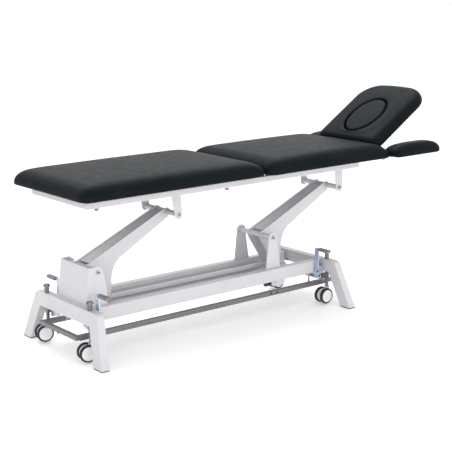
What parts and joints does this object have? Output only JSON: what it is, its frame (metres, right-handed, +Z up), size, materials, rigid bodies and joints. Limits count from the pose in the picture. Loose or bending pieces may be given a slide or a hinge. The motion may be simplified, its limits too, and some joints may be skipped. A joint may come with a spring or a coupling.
{
  "type": "examination couch",
  "caption": "Height-adjustable upholstered couch with raised head section, face opening, drop-down armrests, twin lift arms and retractable castors.",
  "frame": {"origin": "on the floor below the middle of the couch's outline", "axes": "+X towards the head end, +Z up, -Y is the near side"},
  "size_m": [2.0494, 0.67, 0.9718],
  "materials": {
    "powder_coat": "smooth satin powder coat",
    "zinc_steel": "bright zinc plating",
    "rod_steel": "blue zinc plating",
    "dark_leather": "smooth artificial leather",
    "tyre_grey": "soft matt tread",
    "disc_white": "moulded, satin gloss",
    "hood_grey": "moulded, matt",
    "sleeve_grey": "soft ribbed grip",
    "pad_rubber": "matt",
    "bar_aluminium": "matt anodised",
    "motor_grey": "light grey paint"
  },
  "bodies": {
    "base": {"leg_frame_foot": "powder_coat", "leg_frame_head": "powder_coat", "foot_pads": "pad_rubber", "base_rails": "powder_coat", "base_tray": "powder_coat", "foot_tower": "powder_coat", "head_tower_plates": "powder_coat", "base_pivot_bolts": "zinc_steel", "lever_brackets": "powder_coat", "bar_guides": "rod_steel", "drive_motor": "motor_grey"},
    "arm_foot": {"arm_foot_shell": "powder_coat", "arm_foot_tubes": "zinc_steel"},
    "arm_head": {"arm_head_shell": "powder_coat", "arm_head_tubes": "zinc_steel"},
    "tie_bar": {"tie_rod": "rod_steel"},
    "deck": {"frame_side_rails": "powder_coat", "frame_end_tubes": "powder_coat", "frame_cross_tubes": "powder_coat", "hangers": "powder_coat", "hanger_bolts": "zinc_steel", "seat_bars": "powder_coat", "head_brackets": "powder_coat", "head_hinge_shaft": "zinc_steel", "seat_cushion": "dark_leather"},
    "leg_section": {"leg_subframe": "powder_coat", "leg_cushion": "dark_leather"},
    "head_section": {"head_frame": "powder_coat", "head_cushion": "dark_leather"},
    "plug": {"face_plug": "dark_leather"},
    "rest_near": {"armrest_bracket_near": "powder_coat", "armrest_near": "dark_leather"},
    "rest_far": {"armrest_bracket_far": "powder_coat", "armrest_far": "dark_leather"},
    "foot_bar": {"foot_bar_sides": "bar_aluminium", "foot_bar_ends": "bar_aluminium"},
    "lever_foot_near": {"pedal_foot_near": "rod_steel", "sleeve_foot_near": "sleeve_grey"},
    "carrier_foot_near": {"stem_foot_near": "rod_steel"},
    "swivel_foot_near": {"castor_foot_near_hood": "hood_grey"},
    "wheels_foot_near": {"castor_foot_near_tyres": "tyre_grey", "castor_foot_near_discs": "disc_white"},
    "lever_foot_far": {"pedal_foot_far": "rod_steel", "sleeve_foot_far": "sleeve_grey"},
    "carrier_foot_far": {"stem_foot_far": "rod_steel"},
    "swivel_foot_far": {"castor_foot_far_hood": "hood_grey"},
    "wheels_foot_far": {"castor_foot_far_tyres": "tyre_grey", "castor_foot_far_discs": "disc_white"},
    "lever_head_near": {"pedal_head_near": "rod_steel", "sleeve_head_near": "sleeve_grey"},
    "carrier_head_near": {"stem_head_near": "rod_steel"},
    "swivel_head_near": {"castor_head_near_hood": "hood_grey"},
    "wheels_head_near": {"castor_head_near_tyres": "tyre_grey", "castor_head_near_discs": "disc_white"},
    "lever_head_far": {"pedal_head_far": "rod_steel", "sleeve_head_far": "sleeve_grey"},
    "carrier_head_far": {"stem_head_far": "rod_steel"},
    "swivel_head_far": {"castor_head_far_hood": "hood_grey"},
    "wheels_head_far": {"castor_head_far_tyres": "tyre_grey", "castor_head_far_discs": "disc_white"}
  },
  "joints": [
    {"name": "lift", "type": "hinge", "parent": "base", "child": "arm_foot", "pos_m": [-0.85973, 0, 0.352], "axis": [0, -1, 0], "range_deg": [-34, 33.3]},
    {"name": "head_arm", "type": "hinge", "parent": "base", "child": "arm_head", "pos_m": [0.08327, 0, 0.352], "axis": [0, -1, 0], "range_deg": [-34.1, 33.4]},
    {"name": "deck_level", "type": "hinge", "parent": "arm_foot", "child": "deck", "pos_m": [-0.45173, 0, 0.538], "axis": [0, -1, 0], "range_deg": [-33.4, 34.1]},
    {"name": "tie_pivot", "type": "hinge", "parent": "arm_foot", "child": "tie_bar", "pos_m": [-0.77173, 0, 0.2], "axis": [0, -1, 0], "range_deg": [-33.4, 34.1]},
    {"name": "leg_raise", "type": "hinge", "parent": "deck", "child": "leg_section", "pos_m": [-0.08673, 0, 0.676], "axis": [0, 1, 0], "range_deg": [0, 25]},
    {"name": "head_tilt", "type": "hinge", "parent": "deck", "child": "head_section", "pos_m": [0.67227, 0, 0.671], "axis": [0, -1, 0], "range_deg": [-57.5, 3]},
    {"name": "plug_out", "type": "slide", "parent": "head_section", "child": "plug", "axis": [-0.5373, 0, 0.8434], "range_m": [0, 0.12]},
    {"name": "armrest_near_drop", "type": "hinge", "parent": "deck", "child": "rest_near", "pos_m": [0.67227, -0.234, 0.671], "axis": [0, 1, 0], "range_deg": [0, 35]},
    {"name": "armrest_far_drop", "type": "hinge", "parent": "deck", "child": "rest_far", "pos_m": [0.67227, 0.234, 0.671], "axis": [0, 1, 0], "range_deg": [0, 35]},
    {"name": "foot_bar_press", "type": "slide", "parent": "base", "child": "foot_bar", "axis": [0, 0, -1], "range_m": [0, 0.005], "stiffness_N_per_m": 4000, "springref_m": -0.03},
    {"name": "pedal_foot_near", "type": "hinge", "parent": "base", "child": "lever_foot_near", "pos_m": [-0.89073, -0.158, 0.14], "axis": [1, 0, 0], "range_deg": [0, 17.1]},
    {"name": "castor_drop_foot_near", "type": "slide", "parent": "base", "child": "carrier_foot_near", "axis": [0, 0, -1], "range_m": [0, 0.0053]},
    {"name": "swivel_foot_near", "type": "hinge", "parent": "carrier_foot_near", "child": "swivel_foot_near", "pos_m": [-0.93873, -0.175, 0.086], "axis": [0, 0, 1], "continuous": true},
    {"name": "roll_foot_near", "type": "hinge", "parent": "swivel_foot_near", "child": "wheels_foot_near", "pos_m": [-0.95822, -0.1705, 0.0425], "axis": [0.225, 0.9744, 0], "continuous": true},
    {"name": "pedal_foot_far", "type": "hinge", "parent": "base", "child": "lever_foot_far", "pos_m": [-0.89073, 0.158, 0.14], "axis": [-1, 0, 0], "range_deg": [0, 17.1]},
    {"name": "castor_drop_foot_far", "type": "slide", "parent": "base", "child": "carrier_foot_far", "axis": [0, 0, -1], "range_m": [0, 0.0053]},
    {"name": "swivel_foot_far", "type": "hinge", "parent": "carrier_foot_far", "child": "swivel_foot_far", "pos_m": [-0.93873, 0.175, 0.086], "axis": [0, 0, 1], "continuous": true},
    {"name": "roll_foot_far", "type": "hinge", "parent": "swivel_foot_far", "child": "wheels_foot_far", "pos_m": [-0.95822, 0.1795, 0.0425], "axis": [0.225, 0.9744, 0], "continuous": true},
    {"name": "pedal_head_near", "type": "hinge", "parent": "base", "child": "lever_head_near", "pos_m": [0.32127, -0.158, 0.14], "axis": [1, 0, 0], "range_deg": [0, 17.1]},
    {"name": "castor_drop_head_near", "type": "slide", "parent": "base", "child": "carrier_head_near", "axis": [0, 0, -1], "range_m": [0, 0.0053]},
    {"name": "swivel_head_near", "type": "hinge", "parent": "carrier_head_near", "child": "swivel_head_near", "pos_m": [0.36927, -0.175, 0.086], "axis": [0, 0, 1], "continuous": true},
    {"name": "roll_head_near", "type": "hinge", "parent": "swivel_head_near", "child": "wheels_head_near", "pos_m": [0.34927, -0.175, 0.0425], "axis": [0, 1, 0], "continuous": true},
    {"name": "pedal_head_far", "type": "hinge", "parent": "base", "child": "lever_head_far", "pos_m": [0.32127, 0.158, 0.14], "axis": [-1, 0, 0], "range_deg": [0, 17.1]},
    {"name": "castor_drop_head_far", "type": "slide", "parent": "base", "child": "carrier_head_far", "axis": [0, 0, -1], "range_m": [0, 0.0053]},
    {"name": "swivel_head_far", "type": "hinge", "parent": "carrier_head_far", "child": "swivel_head_far", "pos_m": [0.36927, 0.175, 0.086], "axis": [0, 0, 1], "continuous": true},
    {"name": "roll_head_far", "type": "hinge", "parent": "swivel_head_far", "child": "wheels_head_far", "pos_m": [0.34927, 0.175, 0.0425], "axis": [0, 1, 0], "continuous": true}
  ],
  "couplings": [
    {"joint": "head_arm", "follows": "lift", "ratio": 1},
    {"joint": "deck_level", "follows": "lift", "ratio": -1},
    {"joint": "tie_pivot", "follows": "lift", "ratio": -1},
    {"joint": "castor_drop_foot_near", "follows": "pedal_foot_near", "m_per_rad": 0.01675},
    {"joint": "castor_drop_foot_far", "follows": "pedal_foot_far", "m_per_rad": 0.01675},
    {"joint": "castor_drop_head_near", "follows": "pedal_head_near", "m_per_rad": 0.01675},
    {"joint": "castor_drop_head_far", "follows": "pedal_head_far", "m_per_rad": 0.01675}
  ]
}
